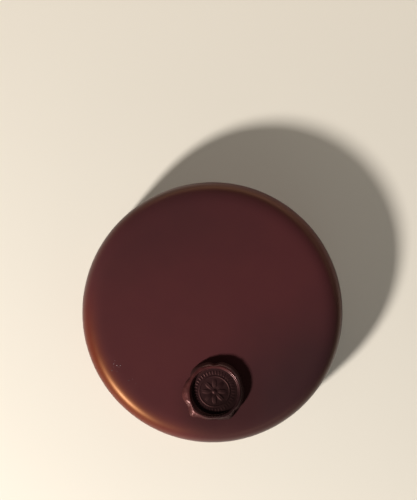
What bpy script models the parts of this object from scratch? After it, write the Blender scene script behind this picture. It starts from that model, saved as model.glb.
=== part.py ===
"""A round chocolate torte under a poured glaze, with a pressed chocolate seal lying on its top.

Blender 4.5, metres, +Z up. The origin is the middle of the cake's underside, and -Y is its front,
the side that the seal lies on. Two separate solids: the glazed cake and the seal.
"""

import math

import bmesh
import bpy
from mathutils import Matrix, Vector

MM = 0.001

# The cake: flat top, soft rounded shoulder, side that draws in a little, foot where the glaze gathered.
CAKE_RADIUS = 110 * MM
CAKE_HEIGHT = 48 * MM
SHOULDER_REACH = 22 * MM
SHOULDER_DROP = 20 * MM
SHOULDER_POWER = 3  # 2 would be an ellipse; above 2 the curve starts and ends more gently
SHOULDER_STEPS = 11
SIDE_DRAFT = 1.2  # 1 / m: how fast the side draws in below the shoulder
SIDE_HEIGHTS = (20 * MM, 10 * MM)
FOOT_HEIGHT = 4.5 * MM
FOOT_EDGE = 1.2 * MM
FOOT_REACH = 0.35 * MM
FOOT_SWELL = 0.75 * MM
FOOT_WAVES = ((7, 1.0, 0.4), (12, 0.8, 2.1), (19, 0.6, 4.0))  # (swellings all round, strength, phase)
CAKE_STEPS = 112

# The seal: a stamped hollow inside a rounded rim, which ran out unevenly like sealing wax.
SEAL_PLACE = Vector((1.7 * MM, -65.1 * MM, 0))
SEAL_LIFT = 0.3 * MM
SEAL_HEIGHT = 7.6 * MM
HOLLOW_DEPTH = 4.0 * MM
FLOOR_RADIUS = 19.6 * MM
FLOOR_FILLET = 0.5 * MM
CREST_RADIUS = 21.1 * MM
CREST_ROUND = 0.7 * MM
SEAL_REACH = 25.0 * MM
SEAL_STEPS = 84
FLOW_POWER = 1.9  # as SHOULDER_POWER, for the curve in which the rim runs down to its edge
FLOW_STEPS = 7
# (bearing in degrees, how far the rim ran out beyond SEAL_REACH, width of that lobe in degrees)
SEAL_LOBES = (
    (15, -0.9 * MM, 10),
    (60, 0.4 * MM, 14),
    (90, -2.1 * MM, 8),
    (128, 0.9 * MM, 14),
    (151, -1.3 * MM, 8),
    (187, 2.4 * MM, 17),
    (226, 3.6 * MM, 11),
    (271, -1.2 * MM, 10),
    (300, 1.6 * MM, 9),
    (317, -1.2 * MM, 7),
)
CREST_LOBES = ((228, 1.0 * MM, 24),)  # the same for the crest, beyond CREST_RADIUS

# The pressed ornament on the floor of the hollow: a rosette inside a ring and a border of short strokes.
RELIEF = 0.4 * MM
PETALS = 8
PETAL_MIDDLE = 6.7 * MM
PETAL_LENGTH = 8.4 * MM
PETAL_WIDTH = 4.0 * MM
BOSS_RADIUS = 2.0 * MM
BOSS_RELIEF = 0.5 * MM
RING_RADIUS = 12.6 * MM
RING_WIDTH = 0.9 * MM
RING_RELIEF = 0.3 * MM
STROKES = 40
STROKE_MIDDLE = 15.8 * MM
STROKE_LENGTH = 3.0 * MM
STROKE_WIDTH = 1.1 * MM
STROKE_TAPER = 0.72  # size of a stroke's top, as a share of its foot

GLAZE_COLOUR = (0.068, 0.020, 0.018, 1)
GLAZE_ROUGHNESS = 0.42
SEAL_COLOUR = (0.045, 0.016, 0.014, 1)
SEAL_ROUGHNESS = 0.38
SHARP_ANGLE = math.radians(40)


def clear_scene():
    for obj in list(bpy.data.objects):
        bpy.data.objects.remove(obj)


def new_collection(name):
    made = bpy.data.collections.new(name)
    bpy.context.scene.collection.children.link(made)
    return made


def chocolate(name, colour, roughness):
    made = bpy.data.materials.new(name)
    made.use_nodes = True
    shader = made.node_tree.nodes["Principled BSDF"]
    shader.inputs["Base Color"].default_value = colour
    shader.inputs["Roughness"].default_value = roughness
    shader.inputs["Metallic"].default_value = 0
    made.diffuse_color = colour
    return made


def turned(name, profile, steps):
    """A mesh turned about Z from a profile of (radius, height) that runs from top to bottom."""
    line = bpy.data.meshes.new(name + "_profile")
    line.from_pydata([(r, 0, z) for r, z in profile], [(i, i + 1) for i in range(len(profile) - 1)], [])
    obj = bpy.data.objects.new(name + "_profile", line)
    bpy.context.scene.collection.objects.link(obj)
    screw = obj.modifiers.new("Screw", "SCREW")
    screw.steps = screw.render_steps = steps
    screw.use_merge_vertices = True
    screw.merge_threshold = 0.01 * MM
    graph = bpy.context.evaluated_depsgraph_get()
    mesh = bpy.data.meshes.new_from_object(obj.evaluated_get(graph))
    mesh.name = name
    bpy.data.objects.remove(obj)
    return mesh


def arc(middle, radius, start, end, steps):
    """Points on a circle, from one angle to another in degrees, where 0 points outwards and 90 up."""
    angles = [math.radians(start + (end - start) * i / steps) for i in range(steps + 1)]
    return [(middle[0] + radius * math.cos(a), middle[1] + radius * math.sin(a)) for a in angles]


def rounded_edge(inner, top, reach, drop, power, steps):
    """Points of a soft quarter curve: level where it starts and upright where it ends, reach further out."""
    turns = [math.pi / 2 * i / steps for i in range(steps)]
    bend = 2 / power
    curve = [(inner + reach * math.sin(a) ** bend, top - drop + drop * math.cos(a) ** bend) for a in turns]
    return [*curve, (inner + reach, top - drop)]


def bearing(point):
    """Degrees round Z, from 0 at +X to 360, counted towards +Y."""
    return math.degrees(math.atan2(point.y, point.x)) % 360


def lobe(angle, middle, width):
    """A smooth bump that is 1 at its middle bearing and falls off over its width."""
    away = (angle - middle + 180) % 360 - 180
    return math.exp(-((away / width) ** 2))


# ---------------------------------------------------------------- cake


def side_radius(z):
    """Radius of the glazed side at a height: widest at the foot of the shoulder, drawn in below it."""
    return CAKE_RADIUS - SIDE_DRAFT * (CAKE_HEIGHT - SHOULDER_DROP - z) ** 2


def cake_profile():
    """Top, shoulder, side, rounded foot, underside."""
    flat_radius = CAKE_RADIUS - SHOULDER_REACH
    shoulder = rounded_edge(
        flat_radius, CAKE_HEIGHT, SHOULDER_REACH, SHOULDER_DROP, SHOULDER_POWER, SHOULDER_STEPS
    )
    side = [(side_radius(z), z) for z in (*SIDE_HEIGHTS, FOOT_HEIGHT)]
    foot_radius = side_radius(FOOT_EDGE) + FOOT_REACH
    foot = arc((foot_radius - FOOT_EDGE, FOOT_EDGE), FOOT_EDGE, 45, -90, 4)
    return [(0, CAKE_HEIGHT), *shoulder, *side, *foot, (0, 0)]


def foot_swell(angle):
    """How far the gathered glaze stands out at a bearing, from 0 to 1: unequal swellings all round."""
    turn = math.radians(angle)
    waves = sum(strength * math.sin(count * turn + phase) for count, strength, phase in FOOT_WAVES)
    return 0.5 + 0.5 * waves / sum(strength for _, strength, _ in FOOT_WAVES)


def swell_foot(mesh):
    """Pushes the foot out unevenly, most at its edge and not at all where it meets the side."""
    for vertex in mesh.vertices:
        radius = vertex.co.xy.length
        if vertex.co.z >= FOOT_HEIGHT or radius < CAKE_RADIUS / 2:
            continue
        depth = math.sin(math.pi / 2 * (1 - vertex.co.z / FOOT_HEIGHT))
        out = FOOT_SWELL * foot_swell(bearing(vertex.co)) * depth
        vertex.co.xy *= (radius + out) / radius


def make_cake(material):
    mesh = turned("cake", cake_profile(), CAKE_STEPS)
    swell_foot(mesh)
    mesh.materials.append(material)
    return bpy.data.objects.new("cake", mesh)


# ---------------------------------------------------------------- seal


def uneven(radius, lobes, angle):
    """A radius at a bearing, with lobes added to it."""
    return radius + sum(run * lobe(angle, middle, width) for middle, run, width in lobes)


def seal_profile():
    """Floor, drafted wall, rounded crest, then a soft curve down to the outer edge."""
    floor = SEAL_HEIGHT - HOLLOW_DEPTH
    fillet = arc((FLOOR_RADIUS - FLOOR_FILLET, floor + FLOOR_FILLET), FLOOR_FILLET, -90, -30, 2)
    crest = arc((CREST_RADIUS, SEAL_HEIGHT - CREST_ROUND), CREST_ROUND, 160, 90, 3)
    flow = rounded_edge(
        CREST_RADIUS, SEAL_HEIGHT, SEAL_REACH - CREST_RADIUS, SEAL_HEIGHT, FLOW_POWER, FLOW_STEPS
    )
    return [(0, floor), *fillet, *crest, *flow[1:], (0, 0)]


def spread_rim(mesh):
    """Shifts the crest and stretches the rim outside it, so that both follow their lobes."""
    for vertex in mesh.vertices:
        radius = vertex.co.xy.length
        if radius <= FLOOR_RADIUS:
            continue
        angle = bearing(vertex.co)
        crest = uneven(CREST_RADIUS, CREST_LOBES, angle)
        reach = uneven(SEAL_REACH, SEAL_LOBES, angle)
        share = (radius - CREST_RADIUS) / (SEAL_REACH - CREST_RADIUS)
        if share > 0:
            new_radius = crest + share * (reach - crest)
        else:
            new_radius = crest - (CREST_RADIUS - radius)
        vertex.co.xy *= new_radius / radius


def on_floor(turn, out, size):
    """Matrix that puts a unit shape on the floor of the hollow: turned, moved out and sized."""
    floor = SEAL_HEIGHT - HOLLOW_DEPTH
    spin = Matrix.Rotation(turn, 4, "Z")
    return spin @ Matrix.Translation((out, 0, floor)) @ Matrix.Diagonal((*size, 1))


def add_rosette(mesh):
    """Petals round a low boss, each a flattened ball sunk to half its thickness."""
    for i in range(PETALS):
        petal = on_floor(math.tau * i / PETALS, PETAL_MIDDLE, (PETAL_LENGTH, PETAL_WIDTH, 2 * RELIEF))
        bmesh.ops.create_uvsphere(mesh, u_segments=14, v_segments=6, radius=0.5, matrix=petal)
    boss = on_floor(0, 0, (2 * BOSS_RADIUS, 2 * BOSS_RADIUS, 2 * BOSS_RELIEF))
    bmesh.ops.create_uvsphere(mesh, u_segments=16, v_segments=6, radius=0.5, matrix=boss)


def add_strokes(mesh):
    """A border of short radial bars, narrower at the top."""
    floor = SEAL_HEIGHT - HOLLOW_DEPTH
    for i in range(STROKES):
        turn = math.tau * (i + 0.5) / STROKES
        stroke = on_floor(turn, STROKE_MIDDLE, (STROKE_LENGTH, STROKE_WIDTH, 2 * RELIEF))
        middle = stroke.translation.xy
        for vertex in bmesh.ops.create_cube(mesh, size=1, matrix=stroke)["verts"]:
            if vertex.co.z > floor:
                vertex.co.xy = middle + STROKE_TAPER * (vertex.co.xy - middle)


def ornament_object():
    """Rosette and strokes in one object, as separate closed shapes sunk into the floor."""
    made = bmesh.new()
    add_rosette(made)
    add_strokes(made)
    mesh = bpy.data.meshes.new("ornament")
    made.to_mesh(mesh)
    made.free()
    return bpy.data.objects.new("ornament", mesh)


def ring_object():
    """The raised ring round the rosette, sunk until only its relief stands out."""
    floor = SEAL_HEIGHT - HOLLOW_DEPTH
    bpy.ops.mesh.primitive_torus_add(
        location=(0, 0, floor + RING_RELIEF - RING_WIDTH / 2),
        major_radius=RING_RADIUS,
        minor_radius=RING_WIDTH / 2,
        major_segments=56,
        minor_segments=6,
    )
    ring = bpy.context.object
    ring.users_collection[0].objects.unlink(ring)
    ring.name = "ring"
    return ring


def unite(obj, tool):
    union = obj.modifiers.new("Unite_" + tool.name, "BOOLEAN")
    union.operation = "UNION"
    union.object = tool


def make_seal(material, cutters):
    mesh = turned("seal", seal_profile(), SEAL_STEPS)
    spread_rim(mesh)
    mesh.materials.append(material)
    seal = bpy.data.objects.new("seal", mesh)
    place = SEAL_PLACE + Vector((0, 0, CAKE_HEIGHT + SEAL_LIFT))
    seal.location = place
    for tool in (ornament_object(), ring_object()):
        tool.location += place
        tool.hide_render = True
        tool.display_type = "WIRE"
        cutters.objects.link(tool)
        unite(seal, tool)
    return seal


def main():
    clear_scene()
    torte = new_collection("chocolate_torte")
    cutters = new_collection("ornament_tools")
    glaze = chocolate("chocolate_glaze", GLAZE_COLOUR, GLAZE_ROUGHNESS)
    couverture = chocolate("chocolate_seal", SEAL_COLOUR, SEAL_ROUGHNESS)
    for obj in (make_cake(glaze), make_seal(couverture, cutters)):
        torte.objects.link(obj)
        obj.data.shade_smooth()
        obj.data.set_sharp_from_angle(angle=SHARP_ANGLE)


main()
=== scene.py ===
"""Looks of the chocolate torte: glaze with its air bubbles, seal, light and camera.

Every size is in metres. The cake stands on the frame's floor with its middle at the origin, and the seal
lies near its front, at -Y.
"""

import math

import bmesh
import bpy
import numpy as np
from mathutils import Matrix, Vector, noise


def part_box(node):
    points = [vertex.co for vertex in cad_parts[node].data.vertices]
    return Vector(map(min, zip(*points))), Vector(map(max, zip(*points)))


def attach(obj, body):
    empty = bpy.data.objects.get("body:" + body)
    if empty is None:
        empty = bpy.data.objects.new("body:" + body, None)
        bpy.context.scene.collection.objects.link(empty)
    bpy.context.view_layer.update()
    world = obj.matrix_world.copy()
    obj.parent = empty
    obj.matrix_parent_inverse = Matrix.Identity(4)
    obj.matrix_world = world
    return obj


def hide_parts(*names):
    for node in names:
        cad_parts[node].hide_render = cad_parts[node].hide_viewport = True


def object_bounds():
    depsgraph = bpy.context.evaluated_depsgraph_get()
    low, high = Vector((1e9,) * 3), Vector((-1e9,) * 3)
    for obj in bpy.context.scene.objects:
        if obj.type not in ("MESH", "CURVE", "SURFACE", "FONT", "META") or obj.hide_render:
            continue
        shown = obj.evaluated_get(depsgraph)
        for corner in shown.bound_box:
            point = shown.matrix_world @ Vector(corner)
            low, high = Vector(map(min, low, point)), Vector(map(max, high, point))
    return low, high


MM = 0.001

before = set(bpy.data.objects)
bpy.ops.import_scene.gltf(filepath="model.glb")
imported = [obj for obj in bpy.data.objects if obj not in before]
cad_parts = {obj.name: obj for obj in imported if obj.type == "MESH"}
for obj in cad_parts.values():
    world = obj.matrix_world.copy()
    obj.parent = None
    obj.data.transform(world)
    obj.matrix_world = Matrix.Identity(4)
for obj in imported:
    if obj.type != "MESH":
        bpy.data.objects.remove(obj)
cad_low, cad_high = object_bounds()
cake_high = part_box("cake")[1]
seal_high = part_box("seal")[1]

# ---------------------------------------------------------------- the cake's form

SKIN = 0.12 * MM  # how far the glaze stays inside the solid, so that its ripples never pass it
CAKE_RADIUS = 110 * MM - SKIN
CAKE_TOP = cake_high.z - 0.05 * MM
SHOULDER_REACH = 22 * MM
SHOULDER_DROP = 20 * MM
SHOULDER_POWER = 3  # 2 would be an ellipse; above 2 the curve starts and ends more gently
SIDE_DRAFT = 1.2  # 1 / m: how fast the side draws in below the shoulder
FOOT_HEIGHT = 4.5 * MM
FOOT_EDGE = 1.2 * MM
FOOT_REACH = 0.35 * MM
FOOT_ARC = (50, -90)  # the foot's round edge, in degrees above level, from the side to the underside
FOOT_SWELL = 0.75 * MM
FOOT_WAVES = ((7, 1.0, 0.4), (12, 0.8, 2.1), (19, 0.6, 4.0))  # (swellings all round, strength, phase)
FLAT_RADIUS = CAKE_RADIUS - SHOULDER_REACH

TOP_SWELLS = ((46 * MM, 0.07 * MM, 3.1), (15 * MM, 0.02 * MM, 8.7))  # (size, height, seed)
# runs of glaze down the side: (width in radians, share, seed)
RUNS = ((0.16, 0.65, 5.5), (0.06, 0.35, 1.2))
RUNS_DEPTH = 0.32 * MM
RUNS_START = 5 * MM  # below the top
RUNS_FULL = 30 * MM

TOP_CELLS = 120  # cells across the top's grid; its rim, and so every ring, has four times as many points
SHOULDER_RINGS = 34
SIDE_RINGS = 40
FOOT_RINGS = 14
LIP_RINGS = 14
LIP_WIDTH = 7 * MM
LIP_DEPTH = 0.7 * MM
LIP_STEP = (0.45, 0.8)  # shares of the lip's width between which the underside steps up
LIP_WANDER = 0.35  # share by which that step's place varies round the cake
LIP_WAVE = 0.22  # width of its waves in radians
LIP_SEED = 9.9
LIP_REACH = 4  # power of the radius with which the underside takes on the lip's height near its edge
PIT_SIZE = 3.5 * MM
PIT_DEPTH = 0.1 * MM
PIT_SEED = 2.2
PIT_REACH = 6  # power of the radius with which the pits fade out towards the lip

# clusters of air bubbles in the glaze: (middle x, middle y, spread, how many)
BUBBLE_CLUSTERS = (
    (-81.3 * MM, -43.5 * MM, 2.8 * MM, 11),
    (-68 * MM, -58 * MM, 4.0 * MM, 3),
)
BUBBLE_RADIUS = (0.3 * MM, 0.65 * MM)
BUBBLE_RISE = 0.5  # height of a dome as a share of its radius
BUBBLE_SINK = 0.08  # how deep a dome's widest circle lies in the glaze, as a share of its radius
BUBBLE_SEED = 11
BUBBLE_SIDES = 20
BUBBLE_BANDS = 12

# ---------------------------------------------------------------- the seal's form

SEAL_X = 1.7 * MM
SEAL_Y = -65.1 * MM
SEAL_TOP = seal_high.z
SEAL_HEIGHT = 7.6 * MM
HOLLOW_DEPTH = 4.0 * MM
FLOOR_RADIUS = 19.6 * MM
FLOOR_FILLET = 0.5 * MM
FILLET_ARC = (-90, -30)  # in degrees above level, from the floor into the wall
CREST_RADIUS = 21.1 * MM
CREST_ROUND = 0.7 * MM
CREST_ARC = (160, 90)  # from the wall to the crest's highest line
SEAL_REACH = 25.0 * MM
# (bearing in degrees, how far the rim ran out beyond SEAL_REACH, width of that lobe in degrees)
SEAL_LOBES = (
    (15, -0.9 * MM, 10),
    (60, 0.4 * MM, 14),
    (90, -2.1 * MM, 8),
    (128, 0.9 * MM, 14),
    (151, -1.3 * MM, 8),
    (187, 2.4 * MM, 17),
    (226, 3.6 * MM, 11),
    (271, -1.2 * MM, 10),
    (300, 1.6 * MM, 9),
    (317, -1.2 * MM, 7),
)
CREST_LOBES = ((230, 1.4 * MM, 24),)  # the same for the crest, beyond CREST_RADIUS
FLOW_POWER = 1.9  # as SHOULDER_POWER, for the curve in which the rim runs down to its edge
SEAL_SINK = 0.5 * MM  # how far the wax reaches below its solid, which hovers a hair above the glaze
FLOW_START = 1.5 * MM  # distance from the crest at which lumps and folds reach their full height
FLOW_FADE = 2 * MM  # height above the edge below which they fade out
FLOW_LUMPS = ((4 * MM, 0.20 * MM, 4.4), (1.8 * MM, 0.05 * MM, 7.1))  # (size, height, seed)
# folds of the wax that ran out: (bearing and width in degrees, distance from the middle, size, height)
FLOW_FOLDS = (
    (198, 4.5, 25.0 * MM, 1.6 * MM, 0.9 * MM),
    (211, 5, 24.2 * MM, 1.2 * MM, -0.6 * MM),
    (234, 8, 25.5 * MM, 1.1 * MM, -0.6 * MM),
    (228, 5, 26.9 * MM, 1.1 * MM, 0.8 * MM),
    (172, 4, 25.0 * MM, 1.5 * MM, 0.5 * MM),
    (52, 4, 23.2 * MM, 1.5 * MM, 0.4 * MM),
    (118, 4, 23.2 * MM, 1.4 * MM, 0.4 * MM),
)
FLOOR_CELLS = 150
WALL_RINGS = 14
CREST_RINGS = 10
FLOW_RINGS = 40

RELIEF = 0.38 * MM
PETALS = 8
PETAL_MIDDLE = 6.7 * MM
PETAL_LENGTH = 8.4 * MM
PETAL_WIDTH = 4.0 * MM
VEIN_WIDTH = 0.3 * MM
VEIN_DEPTH = 0.18 * MM
BOSS_RADIUS = 2.0 * MM
BOSS_RELIEF = 0.5 * MM
RING_RADIUS = 12.6 * MM
RING_WIDTH = 1.3 * MM
RING_RELIEF = 0.22 * MM
STROKES = 40
STROKE_MIDDLE = 15.8 * MM
STROKE_LENGTH = 3.0 * MM
STROKE_WIDTH = 1.1 * MM
STROKE_TOP = (0.36, 0.1)  # from its middle to the end of its level top, as shares of length and width
STROKE_RELIEF = 0.29 * MM  # where the stamp went in deepest
STAMP_LEAN = 0.35  # share by which the strokes vary, because the stamp leaned a little
STAMP_LEAN_BEARING = 130


# ---------------------------------------------------------------- mesh helpers

WELD_DISTANCE = 0.001 * MM
CURVE_SAMPLES = 20  # fine steps for each ring, from which evenly spaced rings are read


def disc_grid(cells):
    """Points of a square grid bent into a unit disc, so that its rim is evenly divided round."""
    steps = np.linspace(-1, 1, cells + 1)
    a, b = np.meshgrid(steps, steps, indexing="ij")
    wide = np.abs(a) > np.abs(b)
    radius = np.where(wide, a, b)
    safe_a = np.where(a == 0, 1, a)
    safe_b = np.where(b == 0, 1, b)
    turn = np.where(wide, math.pi / 4 * b / safe_a, math.pi / 2 - math.pi / 4 * a / safe_b)
    return radius * np.cos(turn), radius * np.sin(turn)


def disc_faces(cells, start, upwards):
    """Quads of a disc grid whose first point has index start."""
    i, j = np.meshgrid(np.arange(cells), np.arange(cells), indexing="ij")
    low = start + i * (cells + 1) + j
    quads = np.stack([low, low + cells + 1, low + cells + 2, low + 1], axis=-1).reshape(-1, 4)
    return quads if upwards else quads[:, ::-1]


def ring_faces(rings, segments, start):
    """Quads between rings that run outwards over the top, down the side and inwards below."""
    i, j = np.meshgrid(np.arange(rings - 1), np.arange(segments), indexing="ij")
    after = (j + 1) % segments
    inner = start + i * segments
    outer = inner + segments
    return np.stack([inner + j, outer + j, outer + after, inner + after], axis=-1).reshape(-1, 4)


def closed_surface(name, top_disc, rings, bottom_disc, cells):
    """A closed mesh: a top disc, rings of points round it, and a bottom disc, welded at their rims."""
    sets = [np.stack(part, axis=-1).reshape(-1, 3) for part in (top_disc, rings, bottom_disc)]
    starts = np.cumsum([0] + [len(points) for points in sets])
    faces = np.vstack(
        [
            disc_faces(cells, starts[0], True),
            ring_faces(rings[0].shape[0], 4 * cells, starts[1]),
            disc_faces(cells, starts[2], False),
        ]
    )
    mesh = bpy.data.meshes.new(name)
    mesh.from_pydata(np.vstack(sets).tolist(), [], faces.tolist())
    weld = bmesh.new()
    weld.from_mesh(mesh)
    bmesh.ops.remove_doubles(weld, verts=weld.verts, dist=WELD_DISTANCE)
    weld.to_mesh(mesh)
    weld.free()
    mesh.shade_smooth()
    piece = bpy.data.objects.new(name, mesh)
    bpy.context.scene.collection.objects.link(piece)
    return piece


def bearings(cells):
    return np.arange(4 * cells) * math.tau / (4 * cells)


def rounded_edge(reach, drop, power, rings):
    """Evenly spaced points of a soft quarter curve, as ways out and down: level first, then upright."""
    turn = np.linspace(0, math.pi / 2, CURVE_SAMPLES * rings)
    out = reach * np.sin(turn) ** (2 / power)
    down = drop * (1 - np.cos(turn) ** (2 / power))
    way = np.append(0, np.cumsum(np.hypot(np.diff(out), np.diff(down))))
    even = np.linspace(0, way[-1], rings)
    return np.interp(even, way, out), np.interp(even, way, down)


def smooth_step(value, low, high):
    share = np.clip((value - low) / (high - low), 0, 1)
    return share * share * (3 - 2 * share)


def swell(x, y, seed, size):
    """Smooth noise from about -1 to 1, with lumps of about the given size."""
    flat = [noise.noise(Vector((u / size, v / size, seed))) for u, v in zip(x.ravel(), y.ravel())]
    return np.array(flat).reshape(x.shape)


# ---------------------------------------------------------------- the glaze


def side_radius(z):
    """Radius of the glazed side at a height: widest at the foot of the shoulder, drawn in below it."""
    return CAKE_RADIUS - SIDE_DRAFT * (CAKE_TOP - SHOULDER_DROP - z) ** 2


def foot_swell(turn):
    """How far the gathered glaze stands out at a bearing, from 0 to 1."""
    waves = sum(strength * np.sin(count * turn + phase) for count, strength, phase in FOOT_WAVES)
    return 0.5 + 0.5 * waves / sum(strength for _, strength, _ in FOOT_WAVES)


def top_height(x, y):
    """Height of the poured top: level, with the long low swells that a trowel and a set glaze leave."""
    return CAKE_TOP + sum(high * swell(x, y, seed, size) for size, high, seed in TOP_SWELLS)


def runs(turn):
    """Faint upright runs in the glaze of the side, from -1 to 1 round the cake."""
    return sum(share * swell(np.cos(turn), np.sin(turn), seed, width) for width, share, seed in RUNS)


def glaze_rings(turn):
    """Radius and height of every ring, from the top's rim over the shoulder to the middle of the lip."""
    out, down = rounded_edge(SHOULDER_REACH, SHOULDER_DROP, SHOULDER_POWER, SHOULDER_RINGS)
    shoulder = list(zip(FLAT_RADIUS + out, CAKE_TOP - down))
    side_heights = np.linspace(CAKE_TOP - SHOULDER_DROP, FOOT_HEIGHT, SIDE_RINGS + 1)[1:]
    side = [(side_radius(z), z) for z in side_heights]
    foot_radius = side_radius(FOOT_EDGE) + FOOT_REACH - FOOT_EDGE
    curl = np.linspace(*np.radians(FOOT_ARC), FOOT_RINGS)
    foot = [(foot_radius + FOOT_EDGE * math.cos(a), FOOT_EDGE + FOOT_EDGE * math.sin(a)) for a in curl]
    lip = [(foot_radius - LIP_WIDTH * share, 0) for share in np.linspace(0, 1, LIP_RINGS + 1)[1:]]
    profile = np.array(shoulder + side + foot + lip)
    radius = np.repeat(profile[:, :1], len(turn), axis=1)
    height = np.repeat(profile[:, 1:], len(turn), axis=1)

    below = smooth_step(CAKE_TOP - height, RUNS_START, RUNS_FULL)
    radius = radius - 0.5 * RUNS_DEPTH * (1 - runs(turn)) * below
    depth = np.sin(math.pi / 2 * np.clip(1 - height / FOOT_HEIGHT, 0, 1))
    radius = radius + FOOT_SWELL * foot_swell(turn) * depth

    lip_start = SHOULDER_RINGS + SIDE_RINGS + FOOT_RINGS - 1
    share = np.linspace(0, 1, LIP_RINGS + 1)[:, None]
    wander = 1 + LIP_WANDER * swell(np.cos(turn), np.sin(turn), LIP_SEED, LIP_WAVE)
    height[lip_start:] += LIP_DEPTH * smooth_step(share * wander, *LIP_STEP)
    return radius, height


def make_glaze():
    turn = bearings(TOP_CELLS)
    radius, height = glaze_rings(turn)
    x, y = radius * np.cos(turn), radius * np.sin(turn)
    lifted = smooth_step(height, CAKE_TOP - SHOULDER_DROP, CAKE_TOP)
    height = height + lifted * (top_height(x, y) - CAKE_TOP)

    grid_x, grid_y = disc_grid(TOP_CELLS)
    top_x, top_y = grid_x * FLAT_RADIUS, grid_y * FLAT_RADIUS
    top = (top_x, top_y, top_height(top_x, top_y))

    rim = np.hypot(grid_x, grid_y)
    around = np.arctan2(grid_y, grid_x) % math.tau
    whole_turn = np.append(turn, math.tau)
    base_radius = np.interp(around, whole_turn, np.append(radius[-1], radius[-1][0]))
    base_x, base_y = grid_x * base_radius, grid_y * base_radius
    rim_height = np.interp(around, whole_turn, np.append(height[-1], height[-1][0]))
    pits = PIT_DEPTH * swell(base_x, base_y, PIT_SEED, PIT_SIZE) * (1 - rim**PIT_REACH)
    near_lip = rim**LIP_REACH
    bottom = (base_x, base_y, rim_height * near_lip + LIP_DEPTH * (1 - near_lip) + pits)
    return closed_surface("glaze", top, (x, y, height), bottom, TOP_CELLS)


def bubble_places():
    """Place and radius of each bubble, by chance from a fixed seed."""
    chance = np.random.default_rng(BUBBLE_SEED)
    for middle_x, middle_y, spread, count in BUBBLE_CLUSTERS:
        for x, y in chance.normal((middle_x, middle_y), spread, (count, 2)).tolist():
            yield x, y, float(chance.uniform(*BUBBLE_RADIUS))


def make_bubbles(glaze):
    """Low domes over air bubbles that rose in the glaze as it set, standing on its surface."""
    domes = bmesh.new()
    for x, y, size in bubble_places():
        _, place, normal, _ = glaze.ray_cast(Vector((x, y, 2 * CAKE_TOP)), Vector((0, 0, -1)))
        shift = Matrix.Translation(place - BUBBLE_SINK * size * normal)
        turn = normal.to_track_quat("Z", "Y").to_matrix().to_4x4()
        squash = Matrix.Diagonal((size, size, BUBBLE_RISE * size, 1))
        bmesh.ops.create_uvsphere(
            domes,
            u_segments=BUBBLE_SIDES,
            v_segments=BUBBLE_BANDS,
            radius=1,
            matrix=shift @ turn @ squash,
        )
    mesh = bpy.data.meshes.new("glaze_bubbles")
    domes.to_mesh(mesh)
    domes.free()
    mesh.shade_smooth()
    piece = bpy.data.objects.new("glaze_bubbles", mesh)
    bpy.context.scene.collection.objects.link(piece)
    return piece


# ---------------------------------------------------------------- the seal


def lobe(turn, middle, width):
    away = (np.degrees(turn) - middle + 180) % 360 - 180
    return np.exp(-((away / width) ** 2))


def uneven(radius, lobes, turn):
    """A radius at a bearing, with lobes added to it."""
    return radius + sum(run * lobe(turn, middle, width) for middle, run, width in lobes)


def ornament(x, y):
    """Height of the pressed rosette, ring and border above the floor of the hollow."""
    radius = np.hypot(x, y)
    height = BOSS_RELIEF * np.clip(1 - (radius / BOSS_RADIUS) ** 2, 0, 1)
    for i in range(PETALS):
        turn = math.tau * i / PETALS
        along = x * math.cos(turn) + y * math.sin(turn) - PETAL_MIDDLE
        across = y * math.cos(turn) - x * math.sin(turn)
        inside = 1 - (2 * along / PETAL_LENGTH) ** 2 - (2 * across / PETAL_WIDTH) ** 2
        vein = VEIN_DEPTH * np.exp(-((across / VEIN_WIDTH) ** 2))
        petal = RELIEF * np.clip(inside, 0, 1) - vein * (inside > 0)
        height = np.maximum(height, petal)
    ring = 1 - (2 * (radius - RING_RADIUS) / RING_WIDTH) ** 2
    height = np.maximum(height, RING_RELIEF * np.clip(ring, 0, 1))
    step = math.tau / STROKES
    aside = np.abs((np.arctan2(y, x) % step - step / 2) * radius)
    ahead = np.abs(radius - STROKE_MIDDLE)
    along = 1 - smooth_step(ahead, STROKE_TOP[0] * STROKE_LENGTH, 0.5 * STROKE_LENGTH)
    across = 1 - smooth_step(aside, STROKE_TOP[1] * STROKE_WIDTH, 0.5 * STROKE_WIDTH)
    lean = 1 - STAMP_LEAN * (1 - np.cos(np.arctan2(y, x) - math.radians(STAMP_LEAN_BEARING)))
    return np.maximum(height, STROKE_RELIEF * lean * across * along)


def flow_relief(x, y):
    """Lumps and folds of the wax outside the crest."""
    relief = sum(high * swell(x, y, seed, size) for size, high, seed in FLOW_LUMPS)
    turn, radius = np.arctan2(y, x), np.hypot(x, y)
    for middle, width, distance, size, high in FLOW_FOLDS:
        relief = relief + high * lobe(turn, middle, width) * np.exp(-(((radius - distance) / size) ** 2))
    return relief


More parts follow.
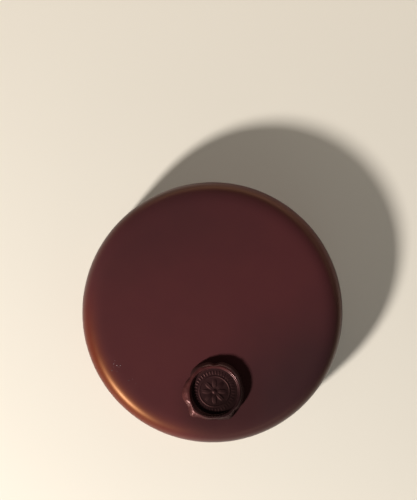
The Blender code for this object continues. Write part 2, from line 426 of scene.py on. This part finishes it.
def make_seal():
    turn = bearings(FLOOR_CELLS)
    floor = SEAL_HEIGHT - HOLLOW_DEPTH
    fillet_radius = FLOOR_RADIUS - FLOOR_FILLET
    fillet = [
        (fillet_radius + FLOOR_FILLET * math.cos(a), floor + FLOOR_FILLET + FLOOR_FILLET * math.sin(a))
        for a in np.radians(np.linspace(*FILLET_ARC, WALL_RINGS))
    ]
    crest = [
        (CREST_RADIUS + CREST_ROUND * math.cos(a), SEAL_HEIGHT - CREST_ROUND + CREST_ROUND * math.sin(a))
        for a in np.radians(np.linspace(*CREST_ARC, CREST_RINGS))
    ]
    profile = np.array(fillet + crest)
    height = np.repeat(profile[:, 1:], len(turn), axis=1)
    crest_radius = uneven(CREST_RADIUS, CREST_LOBES, turn)
    leaned = smooth_step(height, floor + FLOOR_FILLET, SEAL_HEIGHT - CREST_ROUND)
    radius = profile[:, :1] + leaned * (crest_radius - CREST_RADIUS)

    out, down = rounded_edge(1, SEAL_HEIGHT + SEAL_SINK, FLOW_POWER, FLOW_RINGS + 1)
    reach = uneven(SEAL_REACH, SEAL_LOBES, turn)
    flow_radius = crest_radius + out[1:, None] * (reach - crest_radius)
    radius = np.vstack([radius, flow_radius])
    height = np.vstack([height, SEAL_HEIGHT - down[1:, None] * np.ones_like(flow_radius)])

    x, y = radius * np.cos(turn), radius * np.sin(turn)
    on_flow = smooth_step(radius, crest_radius, crest_radius + FLOW_START)
    on_flow = on_flow * smooth_step(height, 0, FLOW_FADE)
    height = np.minimum(height + on_flow * flow_relief(x, y), SEAL_HEIGHT)

    grid_x, grid_y = disc_grid(FLOOR_CELLS)
    floor_x, floor_y = grid_x * fillet_radius, grid_y * fillet_radius
    base = SEAL_TOP - SEAL_HEIGHT
    top = (SEAL_X + floor_x, SEAL_Y + floor_y, base + floor + ornament(floor_x, floor_y))
    rings = (SEAL_X + x, SEAL_Y + y, base + height)
    reach = uneven(SEAL_REACH, SEAL_LOBES, np.arctan2(grid_y, grid_x))
    underside = np.full_like(grid_x, base - SEAL_SINK)
    bottom = (SEAL_X + grid_x * reach, SEAL_Y + grid_y * reach, underside)
    return closed_surface("seal_wax", top, rings, bottom, FLOOR_CELLS)


# ---------------------------------------------------------------- materials

# A patch is soft and round: (its middle, radius of its full strength, radius where it ends, strength).
# A noise is (how fine it is, in 1 / m, and its detail), and a span is where most of its values lie.

NOISE_SPAN = (0.3, 0.7)

WARM_GLAZE = (0.0612, 0.0163, 0.0180)
COOL_CLOUD_AND_SHADE_GLAZE = (0.0335, 0.0134, 0.0150)
# painted shade: the glaze darker and cooler towards the lower right and the back left, where less light
# fell
PAINTED_SHADE_PATCHES = (
    ((110 * MM, -110 * MM, CAKE_TOP), 60 * MM, 150 * MM, 1.0),
    ((-90 * MM, 160 * MM, CAKE_TOP), 70 * MM, 190 * MM, 0.45),
)
GLAZE_CLOUDS = (22, 3)
GLAZE_CLOUD_SPAN = (0.35, 0.65)
CLOUDINESS = 0.08
PAINTED_SEAL_SHADE_GLAZE = (0.0350, 0.0118, 0.0132)  # painted shade under the seal and in front of it, where the seal keeps light off the glaze
PAINTED_SEAL_SHADE_PATCH = ((SEAL_X + 7 * MM, SEAL_Y - 12 * MM, CAKE_TOP), 20 * MM, 46 * MM, 0.8)
PAINTED_WARM_LIGHT_GLAZE = (0.0780, 0.0110, 0.0050)  # painted warm light and reflection where the edge faces the key lamp, at the left and front
PAINTED_WARM_LIGHT_PATCH = ((-100 * MM, -70 * MM, CAKE_TOP - 20 * MM), 30 * MM, 110 * MM, 1)
INSIDE_EDGE = ((0, 0, CAKE_TOP), 92 * MM, 108 * MM, 1)
PAINTED_WARM_LIGHT_HEIGHTS = (CAKE_TOP - 24 * MM, CAKE_TOP - 10 * MM)
PAINTED_WARM_LIGHT_ON_SIDE = 0.3  # what is left of the painted warm light below those heights
GLAZE_TINT = (1, 0.38, 0.05, 1)
GLAZE_SPECULAR = 0.29
GLAZE_ROUGHNESS = (0.34, 0.39)
GLAZE_SHEEN = (70, 3)
GLAZE_COAT = 0.08
PAINTED_WARM_LIGHT_COAT = 0.04
GLAZE_COAT_ROUGHNESS = 0.3
GLAZE_PEEL = (450, 2)
GLAZE_PEEL_DEPTH = 0.006 * MM

# painted highlight: paler than the glaze, standing in for the glints on the bubbles
BUBBLE_PAINTED_GLINT_COLOURS = ((0.080, 0.027, 0.028), (0.105, 0.040, 0.040))
BUBBLE_CLOUDS = (900, 2)
BUBBLE_ROUGHNESS = (0.2, 0.26)
BUBBLE_SHEEN = (500, 2)
BUBBLE_SPECULAR = 0.5
BUBBLE_COAT = 0.2
BUBBLE_COAT_ROUGHNESS = 0.15

SEAL_DARK = (0.036, 0.0098, 0.0092)
SEAL_LIGHT = (0.053, 0.0132, 0.0122)
SEAL_CLOUDS = (160, 4)
# painted shade on the rim, at the seal's lower right and on its flank behind
SEAL_PAINTED_SHADE = (0.009, 0.0040, 0.0042)
PRESSED_LIGHT = (0.0100, 0.0032, 0.0040)
# painted shade on the stamped floor, at its lower right
PRESSED_PAINTED_SHADE = (0.0015, 0.0008, 0.0008)
SEAL_MIDDLE = (SEAL_X, SEAL_Y, SEAL_TOP)
PRESSED_PATCH = (SEAL_MIDDLE, FLOOR_RADIUS - 0.6 * MM, FLOOR_RADIUS + 0.6 * MM, 1)
CREST_PATCH = (SEAL_MIDDLE, 22 * MM, 24 * MM, 1)
# where painted shade falls on the seal, strongest at its lower right; it also sets the stamped floor's
# dullness
SHADED_PATCH = ((SEAL_X + 30 * MM, SEAL_Y - 30 * MM, SEAL_TOP), 25 * MM, 60 * MM, 0.9)
GLOSSY_PATCH = ((SEAL_X - 25 * MM, SEAL_Y - 20 * MM, SEAL_TOP), 18 * MM, 40 * MM, 1)
# share of painted shade on the flank behind
BEHIND_PAINTED_SHADE = 0.8
SEAL_TINT = (1, 0.42, 0.36, 1)
SEAL_SPECULAR = 0.4
SEAL_ROUGHNESS = (0.24, 0.32)
SEAL_SHEEN = (300, 3)
# roughness added to the stamped floor (in its open part, in its shaded part), outside the crest, behind
PRESSED_DULLNESS = (0.27, 0.15)
OUTER_DULLNESS = 0.16
BEHIND_DULLNESS = 0.2
SEAL_COAT = 0.24
OUTER_COAT_LOSS = 0.2
SEAL_COAT_ROUGHNESS = 0.25
SEAL_GRAIN = (900, 3)
SEAL_GRAIN_DEPTH = 0.02 * MM

GROUND_COLOUR = (0.62, 0.56, 0.47, 1)
GROUND_ROUGHNESS = 0.9
GROUND_SPECULAR = 0.1
GROUND_GLOW = 0.15  # lifts the shadow, as the pale walls of a studio do


class Nodes:
    """Short ways to add nodes to one material."""

    def __init__(self, name):
        self.material = bpy.data.materials.new(name)
        self.material.use_nodes = True
        self.tree = self.material.node_tree
        self.shader = self.tree.nodes["Principled BSDF"]
        self.where = self.tree.nodes.new("ShaderNodeTexCoord").outputs["Object"]

    def link(self, source, target):
        self.tree.links.new(source, target)

    def height(self):
        """Height above the floor that the cake stands on."""
        made = self.tree.nodes.new("ShaderNodeSeparateXYZ")
        self.link(self.where, made.inputs[0])
        return made.outputs["Z"]

    def noise(self, scale, detail):
        made = self.tree.nodes.new("ShaderNodeTexNoise")
        made.inputs["Scale"].default_value = scale
        made.inputs["Detail"].default_value = detail
        self.link(self.where, made.inputs["Vector"])
        return made.outputs["Fac"]

    def cloudy(self, grain, low, high, span=NOISE_SPAN):
        """Noise that lies between two values."""
        return self.spread(self.noise(*grain), *span, low, high)

    def math(self, operation, first, second):
        made = self.tree.nodes.new("ShaderNodeMath")
        made.operation = operation
        for socket, value in zip(made.inputs, (first, second)):
            if isinstance(value, (int, float)):
                socket.default_value = value
            else:
                self.link(value, socket)
        return made.outputs[0]

    def spread(self, source, low, high, to_low, to_high, kind="LINEAR"):
        """Maps a value from one range to another and holds it inside."""
        made = self.tree.nodes.new("ShaderNodeMapRange")
        made.interpolation_type = kind
        self.link(source, made.inputs["Value"])
        names = ("From Min", "From Max", "To Min", "To Max")
        for name, value in zip(names, (low, high, to_low, to_high)):
            made.inputs[name].default_value = value
        return made.outputs["Result"]

    def mix(self, share, first, second):
        """A colour between two others, each of which is three numbers or a node's output."""
        made = self.tree.nodes.new("ShaderNodeMix")
        made.data_type = "RGBA"  # whose sockets are inputs 6 and 7 and output 2
        self.link(share, made.inputs["Factor"])
        for socket, colour in zip((made.inputs[6], made.inputs[7]), (first, second)):
            if isinstance(colour, tuple):
                socket.default_value = (*colour, 1)
            else:
                self.link(colour, socket)
        return made.outputs[2]

    def bump(self, height, distance):
        made = self.tree.nodes.new("ShaderNodeBump")
        made.inputs["Distance"].default_value = distance
        self.link(height, made.inputs["Height"])
        return made.outputs["Normal"]

    def patch(self, middle, full, end, strength):
        """A soft round patch: its strength in the middle and 0 beyond its end."""
        made = self.tree.nodes.new("ShaderNodeVectorMath")
        made.operation = "DISTANCE"
        self.link(self.where, made.inputs[0])
        made.inputs[1].default_value = middle
        return self.spread(made.outputs["Value"], full, end, strength, 0, "SMOOTHSTEP")


def poured_glaze():
    """Satin set glaze: cloudy tone, painted cool shade and warm light, uneven sheen, very fine orange
    peel.
    """
    made = Nodes("poured_glaze")
    cloud_and_shade = made.cloudy(GLAZE_CLOUDS, -CLOUDINESS, CLOUDINESS, GLAZE_CLOUD_SPAN)
    # random cloudy tone, plus painted shade from the broad patches
    for patch in PAINTED_SHADE_PATCHES:
        cloud_and_shade = made.math("ADD", cloud_and_shade, made.patch(*patch))
    colour = made.mix(cloud_and_shade, WARM_GLAZE, COOL_CLOUD_AND_SHADE_GLAZE)
    # painted shade round the seal
    colour = made.mix(made.patch(*PAINTED_SEAL_SHADE_PATCH), colour, PAINTED_SEAL_SHADE_GLAZE)
    # painted warm light on the shoulder's left and front edge, with less coat there
    edge = made.math("SUBTRACT", 1, made.patch(*INSIDE_EDGE))
    high_up = made.spread(made.height(), *PAINTED_WARM_LIGHT_HEIGHTS, PAINTED_WARM_LIGHT_ON_SIDE, 1, "SMOOTHSTEP")
    warm_light = made.math("MULTIPLY", edge, made.patch(*PAINTED_WARM_LIGHT_PATCH))
    warm_light = made.math("MULTIPLY", warm_light, high_up)
    made.link(made.mix(warm_light, colour, PAINTED_WARM_LIGHT_GLAZE), made.shader.inputs["Base Color"])
    made.link(made.cloudy(GLAZE_SHEEN, *GLAZE_ROUGHNESS), made.shader.inputs["Roughness"])
    made.link(made.bump(made.noise(*GLAZE_PEEL), GLAZE_PEEL_DEPTH), made.shader.inputs["Normal"])
    made.link(made.spread(warm_light, 0, 1, GLAZE_COAT, PAINTED_WARM_LIGHT_COAT), made.shader.inputs["Coat Weight"])
    made.shader.inputs["Coat Roughness"].default_value = GLAZE_COAT_ROUGHNESS
    made.shader.inputs["Specular IOR Level"].default_value = GLAZE_SPECULAR
    made.shader.inputs["Specular Tint"].default_value = GLAZE_TINT
    return made.material


def bubble_skin():
    """The film over an air bubble: glossier than the glaze round it, and paler as a painted highlight.
    """
    made = Nodes("bubble_skin")
    made.link(made.mix(made.noise(*BUBBLE_CLOUDS), *BUBBLE_PAINTED_GLINT_COLOURS), made.shader.inputs["Base Color"])
    made.link(made.cloudy(BUBBLE_SHEEN, *BUBBLE_ROUGHNESS), made.shader.inputs["Roughness"])
    made.shader.inputs["Coat Weight"].default_value = BUBBLE_COAT
    made.shader.inputs["Coat Roughness"].default_value = BUBBLE_COAT_ROUGHNESS
    made.shader.inputs["Specular IOR Level"].default_value = BUBBLE_SPECULAR
    return made.material


def seal_chocolate():
    """Moulded chocolate: glossy where the rim ran out to the front, dull behind and where stamped;
    painted shade at the lower right and behind.
    """
    made = Nodes("seal_chocolate")
    shaded = made.patch(*SHADED_PATCH)
    pressed = made.patch(*PRESSED_PATCH)
    outer = made.math("SUBTRACT", 1, made.patch(*CREST_PATCH))
    behind = made.math("MAXIMUM", made.math("SUBTRACT", outer, made.patch(*GLOSSY_PATCH)), 0)

    rim = made.mix(made.cloudy(SEAL_CLOUDS, 0, 1), SEAL_DARK, SEAL_LIGHT)
    # painted shade at the lower right and on the flank behind
    rim = made.mix(shaded, rim, SEAL_PAINTED_SHADE)
    rim = made.mix(made.math("MULTIPLY", behind, BEHIND_PAINTED_SHADE), rim, SEAL_PAINTED_SHADE)
    floor = made.mix(shaded, PRESSED_LIGHT, PRESSED_PAINTED_SHADE)
    made.link(made.mix(pressed, rim, floor), made.shader.inputs["Base Color"])

    rough = made.cloudy(SEAL_SHEEN, *SEAL_ROUGHNESS)
    pressed_dullness = made.spread(shaded, 0, SHADED_PATCH[-1], *PRESSED_DULLNESS)
    for place, dullness in (
        (pressed, pressed_dullness),
        (outer, OUTER_DULLNESS),
        (behind, BEHIND_DULLNESS),
    ):
        rough = made.math("ADD", rough, made.math("MULTIPLY", place, dullness))
    made.link(rough, made.shader.inputs["Roughness"])
    made.link(made.bump(made.noise(*SEAL_GRAIN), SEAL_GRAIN_DEPTH), made.shader.inputs["Normal"])

    coat = made.spread(pressed, 0, 1, SEAL_COAT, 0)
    coat = made.math("SUBTRACT", coat, made.math("MULTIPLY", outer, OUTER_COAT_LOSS))
    made.link(coat, made.shader.inputs["Coat Weight"])
    made.shader.inputs["Coat Roughness"].default_value = SEAL_COAT_ROUGHNESS
    made.shader.inputs["Specular IOR Level"].default_value = SEAL_SPECULAR
    made.shader.inputs["Specular Tint"].default_value = SEAL_TINT
    return made.material


def pale_floor():
    made = Nodes("pale_floor")
    made.shader.inputs["Base Color"].default_value = GROUND_COLOUR
    made.shader.inputs["Roughness"].default_value = GROUND_ROUGHNESS
    made.shader.inputs["Specular IOR Level"].default_value = GROUND_SPECULAR
    made.shader.inputs["Emission Color"].default_value = GROUND_COLOUR
    made.shader.inputs["Emission Strength"].default_value = GROUND_GLOW
    return made.material


# ---------------------------------------------------------------- stage

GROUND_RADIUS = 4
GROUND_SIDES = 96
GROUND_GAP = 0.2 * MM  # between the ground and the cake's underside
# soft lights: (name, bearing and elevation in degrees, distance, (width, height), watts, colour)
LIGHTS = (
    ("key", 225, 30, 2.0, (0.24, 0.24), 83, (1, 1, 1)),
    ("card", 85, 8, 0.65, (1.1, 0.25), 1.4, (1, 0.88, 0.76)),
    ("back_fill", 35, 20, 0.8, (0.9, 0.3), 0.75, (0.9, 0.97, 1)),
    ("front_fill", 292, 20, 0.8, (0.6, 0.25), 0.5, (0.9, 0.97, 1)),
)
SKY_COLOUR = (1, 0.96, 0.9, 1)
SKY_HORIZON = 0.25
SKY_ZENITH = 0.03
SKY_HEIGHT = 0.5  # sine of the elevation at which the sky has faded to its zenith
CAMERA_PLACE = (-3.3 * MM, 52.5 * MM, 1.444)  # straight above, with the cake a little low in the frame
CAMERA_SENSOR = 36  # in mm, as the lens is
CAMERA_LENS = 120.5
CAMERA_CLIP = 0.05


def make_floor():
    bpy.ops.mesh.primitive_circle_add(
        vertices=GROUND_SIDES,
        radius=GROUND_RADIUS,
        fill_type="NGON",
        location=(0, 0, cad_low.z - GROUND_GAP),
    )
    floor = bpy.context.object
    floor.name = "floor"
    floor.data.materials.append(pale_floor())


def area_light(name, azimuth, elevation, distance, size, watts, colour):
    """A soft light that looks at the middle of the cake's top."""
    data = bpy.data.lights.new(name, "AREA")
    data.shape = "ELLIPSE"
    data.size, data.size_y = size
    data.energy = watts
    data.color = colour
    light = bpy.data.objects.new(name, data)
    turn, rise = math.radians(azimuth), math.radians(elevation)
    out = Vector((math.cos(turn) * math.cos(rise), math.sin(turn) * math.cos(rise), math.sin(rise)))
    light.location = Vector((0, 0, CAKE_TOP)) + distance * out
    light.rotation_euler = out.to_track_quat("Z", "Y").to_euler()
    bpy.context.scene.collection.objects.link(light)


def make_sky():
    """Plain studio air: pale walls all round at the horizon, and dark overhead."""
    world = bpy.data.worlds.new("studio")
    world.use_nodes = True
    tree = world.node_tree
    split = tree.nodes.new("ShaderNodeSeparateXYZ")
    tree.links.new(tree.nodes.new("ShaderNodeTexCoord").outputs["Generated"], split.inputs[0])
    fade = tree.nodes.new("ShaderNodeMapRange")
    values = {"From Max": SKY_HEIGHT, "To Min": SKY_HORIZON, "To Max": SKY_ZENITH}
    for name, value in values.items():
        fade.inputs[name].default_value = value
    tree.links.new(split.outputs["Z"], fade.inputs["Value"])
    tree.nodes["Background"].inputs["Color"].default_value = SKY_COLOUR
    tree.links.new(fade.outputs["Result"], tree.nodes["Background"].inputs["Strength"])
    bpy.context.scene.world = world


def make_camera():
    data = bpy.data.cameras.new("camera")
    data.sensor_width = CAMERA_SENSOR
    data.lens = CAMERA_LENS
    data.clip_start = CAMERA_CLIP
    camera = bpy.data.objects.new("camera", data)
    camera.location = CAMERA_PLACE
    bpy.context.scene.collection.objects.link(camera)
    bpy.context.scene.camera = camera


# ---------------------------------------------------------------- the scene

glaze = make_glaze()
bubbles = make_bubbles(glaze)
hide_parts("cake")
for piece, finish in ((glaze, poured_glaze()), (bubbles, bubble_skin())):
    piece.data.materials.append(finish)
    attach(piece, "root")

seal = make_seal()
seal.data.materials.append(seal_chocolate())
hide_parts("seal")
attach(seal, "root")

make_floor()
for light in LIGHTS:
    area_light(*light)
make_sky()
make_camera()
bpy.context.scene.view_settings.view_transform = "Standard"
